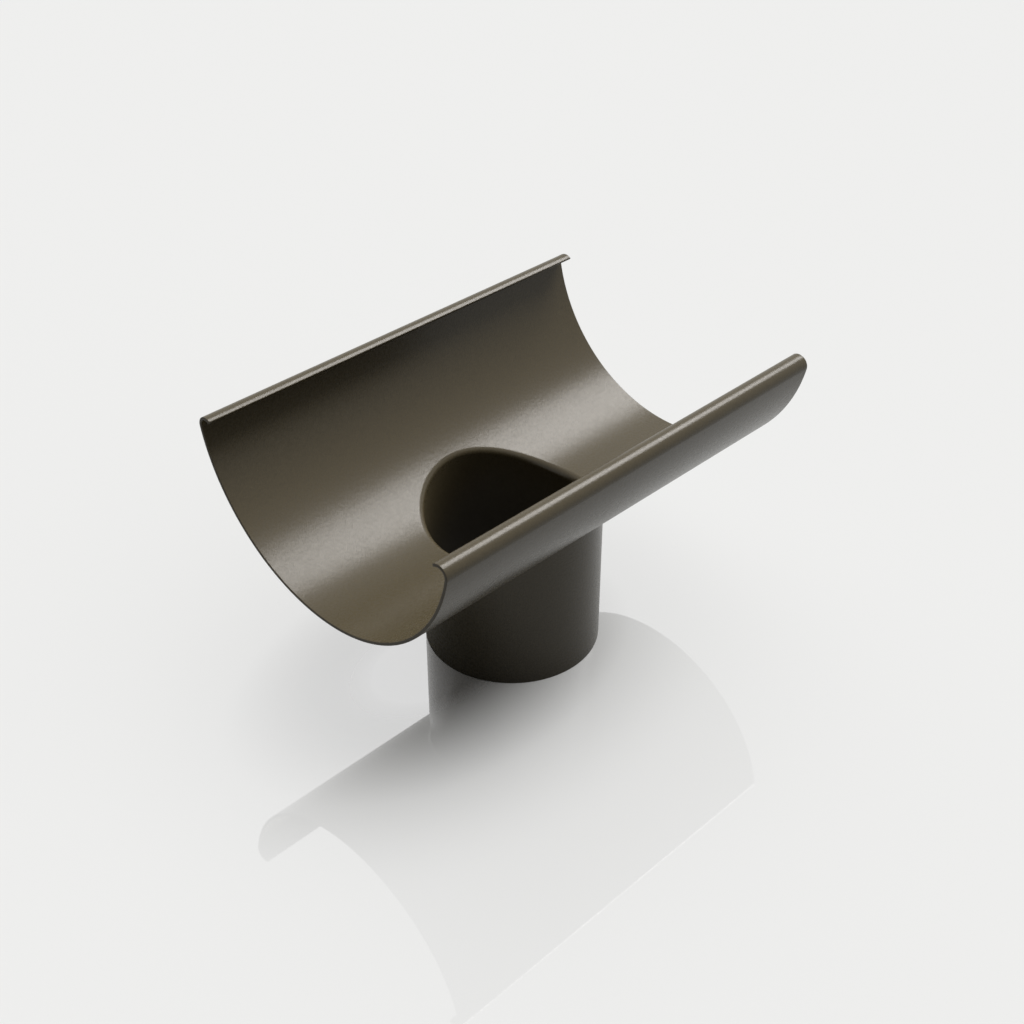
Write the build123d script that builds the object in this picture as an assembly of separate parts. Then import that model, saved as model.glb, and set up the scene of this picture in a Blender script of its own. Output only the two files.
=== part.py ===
# Gutter outlet: a short length of half-round gutter with a round spigot drawn
# down out of its floor, so that rainwater leaves the gutter for the downpipe.
#
# The real one is a single piece of sheet metal, formed and then powder-coated.
# The sheet is rolled into the half-round trough, both long edges are curled
# inwards into hooks that stiffen them, and the spigot grows out of the trough
# through a drawn collar, so the wall is one sheet thick everywhere.
#
# Millimetres. +X runs along the trough, +Z is up. The origin is the centre of
# the spigot's foot, on the surface that the outlet stands on.
import os
from build123d import *

# The sheet's thickness, with the coating on
sheet = 1.2

# The trough: inside radius, length, and how far each wall rises from the lowest
# line, as an angle about the trough's centre line
trough_inner_radius = 62.5
trough_length = 180.0
wall_angle = 78.8

# The hooks along both edges: inside radius of the bend, and how far it turns
hook_inner_radius = 2.8
hook_turn = 143.0

# The spigot: outside diameter, for the downpipe, and how far its foot lies below
# the underside of the trough
spigot_diameter = 68.0
spigot_drop = 54.0

# The drawn collar: the radius under the trough, where it turns into the spigot
collar_under_radius = 1.8

# Worked out from the sizes above. The collar's upper side is parallel to its
# underside, one sheet away, so its radius is larger by the sheet.
trough_outer_radius = trough_inner_radius + sheet
axis_height = spigot_drop + trough_outer_radius
spigot_radius = spigot_diameter / 2
bore_radius = spigot_radius - sheet
collar_rim_radius = collar_under_radius + sheet
straight_down = -90.0


def bent_strip(centre, inner_radius, start, turn):
    """One bend of the sheet in section: the area between two arcs a sheet apart.

    The angles are in degrees, from the sketch's +X towards its +Y.
    """
    with BuildSketch() as strip:
        with BuildLine():
            inside = CenterArc(centre, inner_radius, start, turn)
            outside = CenterArc(centre, inner_radius + sheet, start, turn)
            Line(inside @ 0, outside @ 0)
            Line(inside @ 1, outside @ 1)
        make_face()
    return strip.sketch


def hook_section():
    """The curled edge of the right wall, from the end of the wall to its round tip.

    Its centre lies on the wall's last radius, so the hook leaves the wall with
    no kink, inside and outside.
    """
    wall_end = straight_down + wall_angle
    tip_angle = wall_end + hook_turn
    centre = Vector(trough_inner_radius - hook_inner_radius, 0).rotate(Axis.Z, wall_end)
    tip_centre = centre + Vector(hook_inner_radius + sheet / 2, 0).rotate(Axis.Z, tip_angle)
    tip = Pos(tip_centre) * Circle(sheet / 2)
    return bent_strip(centre, hook_inner_radius, wall_end, hook_turn) + tip


def trough_section():
    """The half-round wall with a hook along each edge, about the trough's centre line."""
    wall = bent_strip((0, 0), trough_inner_radius, straight_down - wall_angle, 2 * wall_angle)
    hook = hook_section()
    return wall + hook + mirror(hook, about=Plane.YZ)


def trough():
    """The section carried along the trough, half of the length each side of the spigot."""
    section = Pos(0, 0, axis_height) * (Plane.YZ * trough_section())
    return extrude(section, amount=trough_length / 2, both=True, dir=(1, 0, 0))


def trough_hollow():
    """The round space that the trough's wall encloses, as a bar that runs past both ends.

    The bar is turned so that its own seam lies at the top, clear of the collar.
    """
    bar = Cylinder(trough_inner_radius, trough_length + 2 * sheet, rotation=(0, -90, 0))
    return Pos(0, 0, axis_height) * bar


def upright_bar(radius):
    """A round bar on the spigot's centre line, from its foot up to the trough's centre line."""
    return Cylinder(radius, axis_height, align=(Align.CENTER, Align.CENTER, Align.MIN))


def gutter_outlet():
    """The trough and its spigot in one sheet, joined by the drawn collar.

    The spigot starts as a solid plug under the trough, the corner between them
    gets the collar's underside, and then the bore is cut and its upper edge
    gets the collar's rim.
    """
    plain_trough = trough()
    plug = upright_bar(spigot_radius) - trough_hollow()
    plugged = plain_trough + plug
    corner = new_edges(plain_trough, plug, combined=plugged)
    flared = fillet(corner, collar_under_radius)

    bore = upright_bar(bore_radius)
    opened = flared - bore
    brim = new_edges(flared, bore, combined=opened)
    return fillet(brim, collar_rim_radius)


outlet = gutter_outlet()
os.makedirs("parts", exist_ok=True)
export_step(outlet, "parts/gutter_outlet.step")
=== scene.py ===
# %% [markdown]
# # A half-round gutter outlet in powder-coated sheet
#
# The outlet is one sheet of metal. It is rolled into a half-round trough, its
# long edges are curled into hooks, and a spigot is drawn down out of its floor.
# The solid model already holds those sizes, so this script only dresses it: a
# finer skin with softened edges, the coating, a floor and the light.
#
# Everything is in metres, in the solid model's own frame: X runs along the
# trough, Z is up, and the origin is the centre of the spigot's foot.

import bpy
import numpy as np
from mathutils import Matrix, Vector


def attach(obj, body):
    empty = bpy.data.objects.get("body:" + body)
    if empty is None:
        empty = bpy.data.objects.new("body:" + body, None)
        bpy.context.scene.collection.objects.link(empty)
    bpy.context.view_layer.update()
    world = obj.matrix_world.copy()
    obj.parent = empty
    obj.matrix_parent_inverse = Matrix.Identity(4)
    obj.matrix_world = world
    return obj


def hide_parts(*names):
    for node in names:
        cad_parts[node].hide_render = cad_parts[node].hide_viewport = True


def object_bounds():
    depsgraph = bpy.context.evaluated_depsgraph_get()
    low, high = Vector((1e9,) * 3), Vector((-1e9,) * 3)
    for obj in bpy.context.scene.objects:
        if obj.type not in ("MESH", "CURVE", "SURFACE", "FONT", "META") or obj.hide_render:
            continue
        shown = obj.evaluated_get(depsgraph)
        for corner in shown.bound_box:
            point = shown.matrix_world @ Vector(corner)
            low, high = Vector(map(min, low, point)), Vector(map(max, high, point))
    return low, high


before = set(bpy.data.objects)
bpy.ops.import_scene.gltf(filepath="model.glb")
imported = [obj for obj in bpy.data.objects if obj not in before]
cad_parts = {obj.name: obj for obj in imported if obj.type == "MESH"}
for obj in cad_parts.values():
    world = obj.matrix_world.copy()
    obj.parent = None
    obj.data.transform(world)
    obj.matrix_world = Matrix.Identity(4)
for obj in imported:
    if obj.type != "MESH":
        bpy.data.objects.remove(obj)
cad_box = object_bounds()

MM = 0.001


def in_mm(corners):
    """Corners in metres as plain lists in millimetres, to print."""
    return [[round(v / MM, 2) for v in corner] for corner in corners]


print("frame box in mm:", in_mm(cad_box))

# %% [markdown]
# ## The camera
#
# A camera can be placed by eye, or worked out from lines in a picture that are
# straight and parallel on the object. Here the second way gave a plain answer:
# the view is the isometric one, turned 45 degrees about the vertical and
# looking down by 35.26 degrees. So only the point it looks at, its distance
# and its lens are left to set.

# %% Camera
VIEW_FROM = Vector((-1.0, -1.0, 1.0)).normalized()
LOOK_AT = Vector((18.35, 18.4, 36.75)) * MM
CAMERA_DISTANCE = 607.1 * MM
NEAREST_SEEN = 10 * MM
LENS_MM, SENSOR_MM = 54.06, 36.0


def add_to_scene(thing):
    """Links an object to the scene's own collection and returns it."""
    bpy.context.scene.collection.objects.link(thing)
    return thing


camera_data = bpy.data.cameras.new("camera")
camera_data.lens = LENS_MM
camera_data.sensor_width = SENSOR_MM
camera_data.clip_start = NEAREST_SEEN
camera = add_to_scene(bpy.data.objects.new("camera", camera_data))
camera.location = LOOK_AT + VIEW_FROM * CAMERA_DISTANCE
camera.rotation_euler = VIEW_FROM.to_track_quat("Z", "Y").to_euler()
bpy.context.scene.camera = camera
print("camera at", [round(v / MM, 1) for v in camera.location], "mm")

# %% [markdown]
# ## The sizes of the sheet
#
# A bent sheet is known by its inside radii, its thickness and how far each bend
# turns. The length is read from the frame, and the rest are the sheet's own
# sizes. The hooks turn by what was measured at their lips, which is a little
# less than in the solid model and leaves the outside box as it is.

# %% Sizes
SHEET = 1.2 * MM
TROUGH_RADIUS = 62.5 * MM
WALL_ANGLE = np.radians(78.8)
HOOK_RADIUS = 2.8 * MM
HOOK_TURN = np.radians(128.0)
SPIGOT_RADIUS = 34.0 * MM
SPIGOT_DROP = 54.0 * MM
COLLAR_RADIUS = 1.8 * MM
EDGE_RADIUS = 0.3 * MM

HALF_LENGTH = (cad_box[1].x - cad_box[0].x) / 2
AXIS_HEIGHT = SPIGOT_DROP + TROUGH_RADIUS + SHEET
WALL_RUN = TROUGH_RADIUS * WALL_ANGLE
HOOK_RUN = HOOK_RADIUS * HOOK_TURN
print(f"sheet from edge to edge: {2 * (WALL_RUN + HOOK_RUN) / MM:.1f} mm")

# %% [markdown]
# ## The section as a formula
#
# The trough could be an extruded outline with a boolean hole, but booleans
# leave long thin faces that show as streaks in a soft highlight. A sheet is
# easier to think of as a flat blank that is then bent: every point of the blank
# has a place along the trough, a run from its lowest line, and a depth through
# the sheet. One formula bends the blank, and it gives the direction that the
# surface faces as well.

# %% Bend the blank
def bend_blank(along, run, depth):
    """Points and outward directions of the trough, for points of the flat blank.

    The sheet turns by run / radius. On the wall the radius is the trough's and
    the bend's centre is on the trough's axis. Past the wall the radius is the
    hook's, and the centre lies on the wall's last radius, so there is no kink.
    A point is the centre plus the outward direction times (radius + depth).
    """
    side, run = np.sign(run), np.abs(run)
    wall_part = np.minimum(run, WALL_RUN)
    hook_part = run - wall_part
    turn = wall_part / TROUGH_RADIUS + hook_part / HOOK_RADIUS
    radius = np.where(hook_part > 0, HOOK_RADIUS, TROUGH_RADIUS)
    centre = TROUGH_RADIUS - radius
    outward = np.stack([0 * turn, side * np.sin(turn), -np.cos(turn)], -1)
    points = outward * (radius + depth)[..., None]
    points[..., 0] = along
    points[..., 1] += side * centre * np.sin(WALL_ANGLE)
    points[..., 2] += AXIS_HEIGHT - centre * np.cos(WALL_ANGLE)
    return points, outward


lowest, _ = bend_blank(np.zeros(1), np.zeros(1), np.full(1, SHEET))
print(f"underside of the trough at {lowest[0, 2] / MM:.2f} mm")

# %% [markdown]
# ## The drawn collar
#
# Where the spigot leaves the trough, the real sheet is stretched over a round
# die. A bevel on a boolean edge would only come near to that. A ball that rolls
# in the corner under the trough, touching the trough and the spigot, traces the
# same shape: the ball's own surface is the underside of the collar, and the
# upper side is one sheet further out. The centre of the ball is easy to find
# for every direction round the spigot.

# %% Roll a ball round the spigot
BALL_FROM_SPIGOT_AXIS = SPIGOT_RADIUS + COLLAR_RADIUS
BALL_FROM_TROUGH_AXIS = TROUGH_RADIUS + SHEET + COLLAR_RADIUS


def ball_centres(turn):
    """Centre of the rolling ball at each angle round the spigot's axis.

    It is one ball radius outside the spigot, and one ball radius outside the
    trough, which gives its height by Pythagoras.
    """
    x, y = BALL_FROM_SPIGOT_AXIS * np.cos(turn), BALL_FROM_SPIGOT_AXIS * np.sin(turn)
    return np.stack([x, y, AXIS_HEIGHT - np.sqrt(BALL_FROM_TROUGH_AXIS**2 - y**2)], -1)


def collar(turn, share, depth):
    """Points and outward directions of the collar: share 0 is at the spigot, 1 at the trough.

    Both contact directions point away from the ball's centre. Turning evenly
    from one to the other, in the plane of both, gives the arc between them.
    """
    centre = ball_centres(turn)
    from_axis = np.hypot(centre[..., 1], AXIS_HEIGHT - centre[..., 2])
    to_spigot = np.stack([-np.cos(turn), -np.sin(turn), 0 * turn], -1)
    to_trough = np.stack([0 * turn, -centre[..., 1], AXIS_HEIGHT - centre[..., 2]], -1)
    to_trough /= from_axis[..., None]
    between = np.arccos(np.sum(to_spigot * to_trough, -1))
    spigot_part = np.sin((1 - share) * between) / np.sin(between)
    trough_part = np.sin(share * between) / np.sin(between)
    inward = spigot_part[..., None] * to_spigot + trough_part[..., None] * to_trough
    return centre + inward * (COLLAR_RADIUS + SHEET - depth)[..., None], -inward


def spigot(turn, height, depth):
    """Points and outward directions of the spigot's wall: a round tube on the Z axis."""
    outward = np.stack([np.cos(turn), np.sin(turn), 0 * turn], -1)
    points = outward * (SPIGOT_RADIUS - SHEET + depth)[..., None]
    points[..., 2] = height
    return points, outward


collar_starts = ball_centres(np.radians([0.0, 90.0]))[:, 2]
print("collar starts at", (collar_starts / MM).round(2), "mm, along and across the trough")

# %% [markdown]
# ## One grid for the whole skin
#
# A plate with one hole in it is closed in two directions, as a ring is. So the
# whole skin can be a single grid whose rows and columns both join up with
# themselves. A column starts at the spigot's foot, climbs the outside of the
# spigot, passes under the collar and the trough to the sheet's edge, turns round
# the edge and comes back along the inside. The columns fan out from the
# spigot to the four sides of the blank. There are no seams or poles to close.

# %% Spread the columns round the blank
HOOK_COLUMNS = 16
WALL_COLUMNS = 76
SIDE_COLUMNS = 64

edge_x = HALF_LENGTH - EDGE_RADIUS
edge_run = WALL_RUN + HOOK_RUN + EDGE_RADIUS


def blank_outline():
    """Columns round the blank's edge, as shares of its half sizes, and the way out of each.

    Each cut end has even steps over the wall and finer ones over the hooks,
    because the hooks bend sharply there. The hooked sides have even steps. The
    way out is the sign of each share that is 1, so a corner has two.
    """
    wall_share = WALL_RUN / edge_run
    first_hook = np.linspace(-1, -wall_share, HOOK_COLUMNS, endpoint=False)
    wall = np.linspace(-wall_share, wall_share, WALL_COLUMNS, endpoint=False)
    last_hook = np.linspace(wall_share, 1, HOOK_COLUMNS, endpoint=False)
    up = np.concatenate([first_hook, wall, last_hook])
    back = np.linspace(1, -1, SIDE_COLUMNS, endpoint=False)
    end, side = np.stack([1 + 0 * up, up]), np.stack([back, 1 + 0 * back])
    outline = np.concatenate([end, side, -end, -side], 1)
    return outline, (np.abs(outline) == 1) * np.sign(outline)


shares, ways = blank_outline()
columns = shares.shape[1]
print(columns, "columns")

# %% [markdown]
# ## The rings of one side
#
# The rings between the collar and the edge are set by two rectangles on the
# blank: one where the hooks start and one at the edge. Rings in the trough run
# from the collar's own outline to the first rectangle, and rings in the hooks
# run from there to the second, so that the tight bends get rows of their own.

# %% Fill in the rings of one side
SPIGOT_ROWS = 14
COLLAR_ROWS = 10
TROUGH_ROWS = 28
HOOK_ROWS = 16

inner_x, inner_run = edge_x - HOOK_RUN, WALL_RUN
column_turn = np.arctan2(shares[1] * inner_run, shares[0] * inner_x)


def one_side(depth):
    """All rows of the inside (depth 0) or the outside (depth one sheet), from foot to edge.

    Each part has rings at even steps from 0 to 1, and a ring lies at
    start + step * (end - start). A part after the first leaves out step 0,
    because the part before it ends there.
    """
    def rows(count, first=0.0):
        step = np.linspace(first, 1, count)[:, None]
        return step, np.broadcast_to(column_turn, (count, columns)), np.full((count, columns), depth)

    step, turn, deep = rows(SPIGOT_ROWS)
    collar_start = ball_centres(turn)[..., 2]
    tube = spigot(turn, EDGE_RADIUS + step * (collar_start - EDGE_RADIUS), deep)

    step, turn, deep = rows(COLLAR_ROWS, 1 / COLLAR_ROWS)
    flare = collar(turn, step + 0 * turn, deep)

    centre = ball_centres(column_turn)
    start_x = centre[:, 0]
    start_run = TROUGH_RADIUS * np.arcsin(centre[:, 1] / BALL_FROM_TROUGH_AXIS)
    step, turn, deep = rows(TROUGH_ROWS, 1 / TROUGH_ROWS)
    along = start_x + step * (shares[0] * inner_x - start_x)
    run = start_run + step * (shares[1] * inner_run - start_run)
    wall = bend_blank(along, run, deep)

    step, turn, deep = rows(HOOK_ROWS, 1 / HOOK_ROWS)
    along = shares[0] * (inner_x + step * (edge_x - inner_x))
    run = shares[1] * (inner_run + step * (edge_run - inner_run))
    hooks = bend_blank(along, run, deep)
    parts = (tube, flare, wall, hooks)
    return tuple(np.concatenate([part[i] for part in parts]) for i in (0, 1))


inside, outside = one_side(0.0), one_side(SHEET)
through = np.linalg.norm(outside[0] - inside[0], axis=-1)
print(f"sheet measures {through.min() / MM:.3f} to {through.max() / MM:.3f} mm through")

# %% [markdown]
# ## The cut edges
#
# Sheet is cut square, and the coating flows a little way round each corner. A
# perfectly sharp edge never catches the light, and a real one does, so each
# edge gets two small quarter rounds with a flat between them. A Bevel modifier
# could make them too, but it works the facing directions out anew, and here
# the formulas give them exactly.

# %% Round the edges
EDGE_STEPS = 5


def edge_profile():
    """Depth, reach and the two parts of the facing direction, from the outside to the inside.

    Each quarter round is a circle of EDGE_RADIUS. The profile's first and last
    points are left out, because the sides of the sheet already have them.
    """
    angle = np.linspace(0, np.pi / 2, EDGE_STEPS)[1:]
    depth = SHEET - EDGE_RADIUS * (1 - np.cos(angle))
    reach = EDGE_RADIUS * np.sin(angle)
    outward, onward = np.cos(angle), np.sin(angle)
    return (np.concatenate([depth, SHEET - depth[::-1]]), np.concatenate([reach, reach[::-1]]),
            np.concatenate([outward, -outward[::-1]]), np.concatenate([onward, onward[::-1]]))


def edge_directions(outward, ways):
    """Directions that lead on past the sheet's edge, in its own surface.

    At the cut ends that is along X. At the hooks it is the outward direction
    turned a quarter about X, which is the way the bend runs.
    """
    across, up = -ways[1] * outward[..., 2], ways[1] * outward[..., 1]
    onward = np.stack([ways[0] + 0 * across, across, up], -1)
    return onward / np.linalg.norm(onward, axis=-1, keepdims=True)


depth, reach, outward_part, onward_part = (v[:, None] for v in edge_profile())
full = np.ones((1, columns))

rim_x = shares[0] * edge_x + ways[0] * reach
rim_run = shares[1] * edge_run + ways[1] * reach
rim_points, rim_outward = bend_blank(rim_x, rim_run, depth * full)
rim_onward = edge_directions(rim_outward, ways)
rim_normals = outward_part[..., None] * rim_outward + onward_part[..., None] * rim_onward

foot_height = EDGE_RADIUS - reach
foot_points, foot_outward = spigot(column_turn + 0 * depth, foot_height * full, depth * full)
foot_normals = outward_part[..., None] * foot_outward + onward_part[..., None] * np.array([0, 0, -1.0])
print(len(depth), "rows round each edge")

# %% [markdown]
# ## The mesh
#
# The rows are put in order round the ring: out along the outside, round the
# sheet's edge, back along the inside and round the spigot's foot. Every face
# joins a vertex to the next one in its row and in its column. The facing
# directions come from the formulas, and they are given to the mesh as they are,
# so that a highlight runs smoothly over faces of different sizes.

# %% Join the grid
def closed_grid(name, points, normals):
    """A mesh from a grid of points that joins up with itself along its rows and its columns.

    Vertex (r, c) is number r * columns + c. Its face goes to the next column
    and the next row, and the last of each is followed by the first.
    """
    rows, cols = points.shape[:2]
    r, c = np.meshgrid(np.arange(rows), np.arange(cols), indexing="ij")
    r2, c2 = (r + 1) % rows, (c + 1) % cols
    quads = np.stack([r * cols + c, r * cols + c2, r2 * cols + c2, r2 * cols + c], -1).reshape(-1, 4)

    flat, facing = points.reshape(-1, 3), normals.reshape(-1, 3)
    a, b, d = flat[quads[:, 0]], flat[quads[:, 1]], flat[quads[:, 3]]
    faces_out = np.sum(np.cross(b - a, d - a) * facing[quads[:, 0]]) > 0
    if not faces_out:
        quads = quads[:, ::-1]

    mesh = bpy.data.meshes.new(name)
    mesh.vertices.add(len(flat))
    mesh.vertices.foreach_set("co", flat.astype(np.float32).ravel())
    mesh.loops.add(quads.size)
    mesh.loops.foreach_set("vertex_index", quads.ravel().astype(np.int32))
    mesh.polygons.add(len(quads))
    mesh.polygons.foreach_set("loop_start", np.arange(0, quads.size, 4, dtype=np.int32))
    mesh.update(calc_edges=True)
    mesh.validate()
    mesh.shade_smooth()
    mesh.normals_split_custom_set_from_vertices(facing.tolist())
    return add_to_scene(bpy.data.objects.new(name, mesh))


points = np.concatenate([outside[0], rim_points, inside[0][::-1], foot_points[::-1]])
normals = np.concatenate([outside[1], rim_normals, -inside[1][::-1], foot_normals[::-1]])
outlet = closed_grid("outlet_skin", points, normals)
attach(outlet, "root")
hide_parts("gutter_outlet")
print(len(outlet.data.vertices), "vertices,", 2 * len(outlet.data.polygons), "triangles")

# %% [markdown]
# ## Thin coat on the edges, painted shade in the spigot
#
# As it melts, powder draws back from a square edge, so the coat is thin on the
# cut edges. Down the inside of the spigot the same dark, dull colour is painted
# shade: full over the lower half of the bore and fading out towards the collar.
# That could be painted on by hand, but the rows of the grid already say where
# every vertex lies. Each row gets its share of this dark colour, and the mesh
# keeps it as an attribute for the material to read.

# %% Mark the thin coat and the painted shade in the spigot
BORE_SHADE_FADE = 0.5

# Painted shade: the inside of the spigot is darkened, fully over its lower half and less towards the
# collar.
below_collar = np.linspace(1, 0, SPIGOT_ROWS)
painted_bore_shade = 0 * inside[0][..., 0]
painted_bore_shade[:SPIGOT_ROWS] = np.minimum(1, below_collar / BORE_SHADE_FADE)[:, None]
thin_edge = np.broadcast_to(onward_part**2, rim_points.shape[:2])
coat_and_shade_shares = np.concatenate([0 * painted_bore_shade, thin_edge, painted_bore_shade[::-1], thin_edge[::-1]])
thin_coat_and_bore_shade = outlet.data.attributes.new("thin_coat_and_bore_shade", "FLOAT", "POINT")
thin_coat_and_bore_shade.data.foreach_set("value", coat_and_shade_shares.astype(np.float32).ravel())
print(f"thin coat on {100 * np.mean(coat_and_shade_shares > 0):.0f} % of the vertices")

# %% [markdown]
# ## Shader maths as plain expressions
#
# Node trees are quick to read as formulas and slow to read as nodes. A small
# class wraps a socket, so that writing `a * b + c` adds the Math nodes. Colours
# and vectors have nodes of their own, because a Math node turns a colour grey.

# %% A socket that does arithmetic
class Socket:
    """A shader socket with arithmetic. Each operation adds a Math node to its tree."""

    def __init__(self, tree, socket):
        self.tree, self.socket = tree, socket

    def maths(self, operation, *others):
        """A Math node of this operation, with this socket as its first value."""
        values = dict(enumerate((self, *others)))
        return add_node(self.tree, "ShaderNodeMath", {"operation": operation}, values)[0]

    def __add__(self, other):
        return self.maths("ADD", other)

    def __mul__(self, other):
        return self.maths("MULTIPLY", other)

    def __sub__(self, other):
        return self.maths("SUBTRACT", other)

    def __rsub__(self, other):
        return add_node(self.tree, "ShaderNodeMath", {"operation": "SUBTRACT"}, {0: other, 1: self})[0]

    __radd__, __rmul__ = __add__, __mul__

    def clamped(self, low, high):
        """This value, kept from low to high."""
        return self.maths("MAXIMUM", low).maths("MINIMUM", high)


def add_node(tree, kind, settings=None, values=None):
    """Adds one node: its settings first, then the values or links of its inputs. Returns its outputs."""
    node = tree.nodes.new(kind)
    for name, value in (settings or {}).items():
        setattr(node, name, value)
    for name, value in (values or {}).items():
        if isinstance(value, Socket):
            tree.links.new(value.socket, node.inputs[name])
        else:
            node.inputs[name].default_value = value
    return [Socket(tree, output) for output in node.outputs]


def vector_maths(tree, operation, *vectors):
    """A Vector Math node. Returns its vector and its value; each operation fills one of them."""
    return add_node(tree, "ShaderNodeVectorMath", {"operation": operation}, dict(enumerate(vectors)))


def mix_colours(tree, share, first, second):
    """A Mix node for colours, which are its inputs 6 and 7 and its output 2."""
    return add_node(tree, "ShaderNodeMix", {"data_type": "RGBA"}, {0: share, 6: first, 7: second})[2]


def mix_shaders(tree, share, first, second):
    """A Mix Shader node: the first shader at share 0 and the second at share 1."""
    return add_node(tree, "ShaderNodeMixShader", {}, {0: share, 1: first, 2: second})[0]


def object_place(tree):
    """The shaded point's place in its object's own space, which is output 3 of Texture Coordinate."""
    return add_node(tree, "ShaderNodeTexCoord")[3]


def new_material(name):
    """An empty node material and its tree."""
    material = bpy.data.materials.new(name)
    material.use_nodes = True
    material.node_tree.nodes.clear()
    return material, material.node_tree


def output_surface(tree, shader):
    """Ends a material's tree with its surface shader."""
    add_node(tree, "ShaderNodeOutputMaterial", {}, {"Surface": shader})


# %% [markdown]
# ## The powder coat
#
# Powder is sprayed on dry and melted in an oven. It doesn't flow out quite
# flat: a fine grain stays, about a millimetre across, on a faint wider ripple.
# The grain could be an image, but then it would stretch over the bends. Noise
# in the object's own space keeps one size everywhere.
#
# Grain and ripple both go into the bump. The grain also drives the roughness
# and a slight change of tone, because the tops of the grain are a little
# polished and its hollows are not. The thin coat on the cut edges, and the
# painted shade down the inside of the spigot, are darker and duller.

# %% Coating material
COAT_TOP = (0.096, 0.0785, 0.045, 1.0)
COAT_HOLLOW = (0.078, 0.0635, 0.036, 1.0)
# The next colour is thin coat on the cut edges and painted shade down the inside of the spigot.
EDGE_COAT_AND_BORE_SHADE_COLOUR = (0.034, 0.027, 0.014, 1.0)
COAT_ROUGHNESS, THIN_ROUGHNESS = 0.28, 0.55
TOP_POLISH = 0.08
COAT_IOR = 1.37
GRAIN_SIZE, RIPPLE_SIZE = 1.1 * MM, 7.0 * MM
GRAIN_HEIGHT, RIPPLE_HEIGHT = 0.028 * MM, 0.022 * MM
GRAIN_DETAIL, RIPPLE_DETAIL = 3.0, 1.0
DETAIL_FADE = 0.5
NOISE_MIDDLE, NOISE_SPREAD = 0.5, 2.5


def powder_coat():
    """The dark umber coating.

    The height is grain and ripple, each times its own height. Noise keeps near
    its middle, so the grain is spread about it and clamped before it goes from
    hollow to top in colour and in polish. The thin coat on the cut edges and the
    painted shade down the spigot's inside then take over their share of the
    colour and add their share of the extra roughness.
    """
    material, tree = new_material("umber_powder_coat")
    place = object_place(tree)
    # The attribute holds the thin coat on the cut edges and the painted shade inside the spigot.
    thin_and_shade = add_node(tree, "ShaderNodeAttribute", {"attribute_name": "thin_coat_and_bore_shade"})[2]

    def noise(size, detail):
        inputs = {"Vector": place, "Scale": 1 / size, "Detail": detail, "Roughness": DETAIL_FADE}
        return add_node(tree, "ShaderNodeTexNoise", {"noise_dimensions": "3D"}, inputs)[0]

    grain, ripple = noise(GRAIN_SIZE, GRAIN_DETAIL), noise(RIPPLE_SIZE, RIPPLE_DETAIL)
    spread = ((grain - NOISE_MIDDLE) * NOISE_SPREAD + NOISE_MIDDLE).clamped(0.0, 1.0)
    full_coat = mix_colours(tree, spread, COAT_HOLLOW, COAT_TOP)
    colour = mix_colours(tree, thin_and_shade, full_coat, EDGE_COAT_AND_BORE_SHADE_COLOUR)
    full_roughness = (NOISE_MIDDLE - spread) * TOP_POLISH + COAT_ROUGHNESS
    roughness = full_roughness + thin_and_shade * (THIN_ROUGHNESS - COAT_ROUGHNESS)

    height = grain * (GRAIN_HEIGHT / RIPPLE_HEIGHT) + ripple
    relief = {"Strength": 1.0, "Distance": RIPPLE_HEIGHT, "Height": height}
    bump = add_node(tree, "ShaderNodeBump", {}, relief)[0]
    coat = {"Base Color": colour, "Roughness": roughness, "Metallic": 0.0, "IOR": COAT_IOR, "Normal": bump}
    output_surface(tree, add_node(tree, "ShaderNodeBsdfPrincipled", {}, coat)[0])
    return material


outlet.data.materials.append(powder_coat())
print("materials on the outlet:", [m.name for m in outlet.data.materials])

# %% [markdown]
# ## The floor
#
# The outlet stands on a pale, polished floor, which shows its mirror image:
# strong at the foot and faint a hand's breadth away. One gloss for the whole
# floor would show all of the image alike, so the polish is a share of the
# floor that falls with the distance from a point just in front of the spigot,
# quickly at first, and reaches further along the trough than across it.
#
# The rest of the floor is diffuse and keeps the outlet's soft shadow. Further
# out, most of what the camera and the gloss see of it is its pale colour
# without shading, which keeps the shadow short and puts no light on the outlet.
#
# The underside of the outlet is dark, and a pale floor would light it from
# below. So the mirror image is for the camera alone, and for the light that
# bounces both parts of the floor are dimmer than they look. The outlet's own
# gloss finds the polish dim too, because a mirror there would show it the
# outlet's dark underside.

# %% Floor
FLOOR_HALF = 6.0
FLOOR_COLOUR = (0.885, 0.885, 0.875, 1.0)
FLOOR_DIM = (0.30, 0.30, 0.29, 1.0)
PLAIN_MOST = 0.72
PLAIN_START, PLAIN_END = 20 * MM, 60 * MM
POLISH_NEAR, POLISH_FAR = 0.86, 0.06
POLISH_START, POLISH_END = 18 * MM, 100 * MM
POLISH_CENTRE = (-36 * MM, 6 * MM, 0)
POLISH_STRETCH = 1.5
POLISH_DIM = (0.03, 0.03, 0.03, 1.0)
IMAGE_COLOUR = (0.87, 0.87, 0.87, 1.0)
IMAGE_ROUGHNESS = 0.02


def seen_rays(tree):
    """1 for the camera's, the gloss's and the glass's rays, and 0 for those that carry light.

    They are outputs 0, 3 and 6 of Light Path.
    """
    path = add_node(tree, "ShaderNodeLightPath")
    return (path[0] + path[3] + path[6]).clamped(0.0, 1.0)


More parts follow.
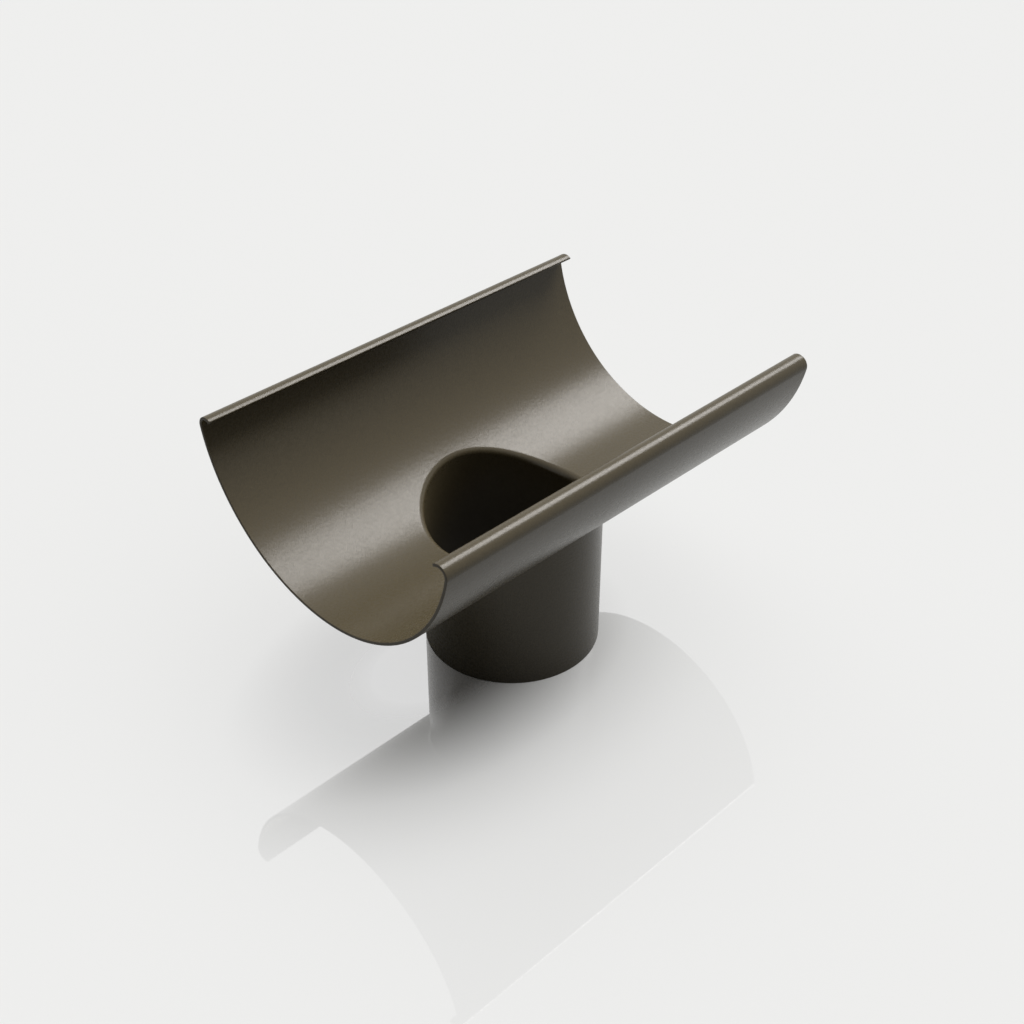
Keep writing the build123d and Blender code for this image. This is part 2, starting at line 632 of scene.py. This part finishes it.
def floor_material():
    """A diffuse floor with a polished share.

    The distance is the length of place - centre, with X divided by the stretch.
    A ramp is (distance - start) / (end - start), kept from 0 to 1. The polished
    share falls from near to far as the square of 1 - ramp.
    """
    material, tree = new_material("polished_pale_floor")
    place = vector_maths(tree, "SUBTRACT", object_place(tree), POLISH_CENTRE)[0]
    place = vector_maths(tree, "MULTIPLY", place, (1 / POLISH_STRETCH, 1, 0))[0]
    distance = vector_maths(tree, "LENGTH", place)[1]

    def ramp(start, end):
        return ((distance - start) * (1 / (end - start))).clamped(0.0, 1.0)

    camera_ray, seen = add_node(tree, "ShaderNodeLightPath")[0], seen_rays(tree)
    near = 1 - ramp(POLISH_START, POLISH_END)
    polished_share = near * near * (POLISH_NEAR - POLISH_FAR) + POLISH_FAR
    plain_share = seen * ramp(PLAIN_START, PLAIN_END) * PLAIN_MOST

    body_colour = mix_colours(tree, seen, FLOOR_DIM, FLOOR_COLOUR)
    shaded = add_node(tree, "ShaderNodeBsdfDiffuse", {}, {"Color": body_colour})[0]
    plain = add_node(tree, "ShaderNodeEmission", {}, {"Color": FLOOR_COLOUR, "Strength": 1.0})[0]
    body = mix_shaders(tree, plain_share, shaded, plain)

    polish_colour = mix_colours(tree, seen, POLISH_DIM, FLOOR_DIM)
    dim = add_node(tree, "ShaderNodeBsdfDiffuse", {}, {"Color": polish_colour})[0]
    reflection = {"Color": IMAGE_COLOUR, "Roughness": IMAGE_ROUGHNESS}
    image = add_node(tree, "ShaderNodeBsdfGlossy", {}, reflection)[0]
    polish = mix_shaders(tree, camera_ray, dim, image)
    output_surface(tree, mix_shaders(tree, polished_share, body, polish))
    return material


floor_mesh = bpy.data.meshes.new("floor")
corners = [(x * FLOOR_HALF, y * FLOOR_HALF, 0) for x, y in ((-1, -1), (1, -1), (1, 1), (-1, 1))]
floor_mesh.from_pydata(corners, [], [(0, 1, 2, 3)])
floor_mesh.materials.append(floor_material())
floor = add_to_scene(bpy.data.objects.new("floor", floor_mesh))
print("floor", 2 * FLOOR_HALF, "m square")

# %% [markdown]
# ## The lamps
#
# One large soft source stands high beyond the trough's right-hand end, and its
# reflection is the broad band along the trough. A sun lamp with a wide disc
# and a slightly warm colour stands for it. On a polished floor that disc would
# show as a white spot and throw a second shadow, so the lamp is linked to the
# outlet alone.
#
# The floor has a lamp of its own: a sun so wide that it is nearly a whole sky,
# which leaves only a soft dark patch under the outlet. It leans to the right,
# so the patch lies a little to the left.

# %% Lamps
KEY_FROM = Vector((0.58, 0.015, 0.81))
KEY_DISC = np.radians(32.0)
KEY_STRENGTH = 2.82
KEY_COLOUR = (1.0, 0.975, 0.955)
SKY_FROM = Vector((0.62, -0.45, 1.0))
SKY_DISC = np.radians(122.0)
SKY_STRENGTH = 2.0


def soft_sun(name, direction, disc, strength, receiver):
    """A sun lamp with a disc of this width that lights one object only."""
    data = bpy.data.lights.new(name, "SUN")
    data.angle, data.energy = disc, strength
    lamp = add_to_scene(bpy.data.objects.new(name, data))
    lamp.rotation_euler = direction.to_track_quat("Z", "Y").to_euler()
    lit = bpy.data.collections.new(name + "_lights")
    lit.objects.link(receiver)
    lamp.light_linking.receiver_collection = lit
    return lamp


key = soft_sun("key", KEY_FROM, KEY_DISC, KEY_STRENGTH, outlet)
key.data.color = KEY_COLOUR
sky = soft_sun("sky", SKY_FROM, SKY_DISC, SKY_STRENGTH, floor)
sky.visible_glossy = False
print(f"key {np.degrees(KEY_DISC):.0f} degrees wide, sky {np.degrees(SKY_DISC):.0f} degrees wide")

# %% [markdown]
# ## The studio
#
# The world round the outlet could be a picture of a room. Here it is a formula
# with two jobs, which Light Path tells apart. For the light that it throws, it
# is bright behind the outlet and above, and dim on the camera's side, so that
# the near walls stay dark. For the camera, the gloss and the glass it is one
# pale backdrop, the same in every direction.

# %% Studio
BACKDROP = 0.87
STUDIO_SLOPE = (0.59, 0.46, 0.52)
STUDIO_MIDDLE, STUDIO_LEAST = 0.03, 0.02
WHITE = (1, 1, 1, 1)


def studio_world():
    """The world. Its light in a direction is middle + direction . slope, kept from least to backdrop."""
    world = bpy.data.worlds.new("studio")
    world.use_nodes = True
    tree = world.node_tree
    tree.nodes.clear()
    toward = add_node(tree, "ShaderNodeTexCoord")[0]
    slope = vector_maths(tree, "DOT_PRODUCT", toward, STUDIO_SLOPE)[1]
    studio = (slope + STUDIO_MIDDLE).clamped(STUDIO_LEAST, BACKDROP)
    strength = seen_rays(tree) * (BACKDROP - studio) + studio
    background = add_node(tree, "ShaderNodeBackground", {}, {"Color": WHITE, "Strength": strength})[0]
    add_node(tree, "ShaderNodeOutputWorld", {}, {"Surface": background})
    return world


bpy.context.scene.world = studio_world()
bpy.context.scene.view_settings.view_transform = "Standard"
print("backdrop at", BACKDROP, "of white")
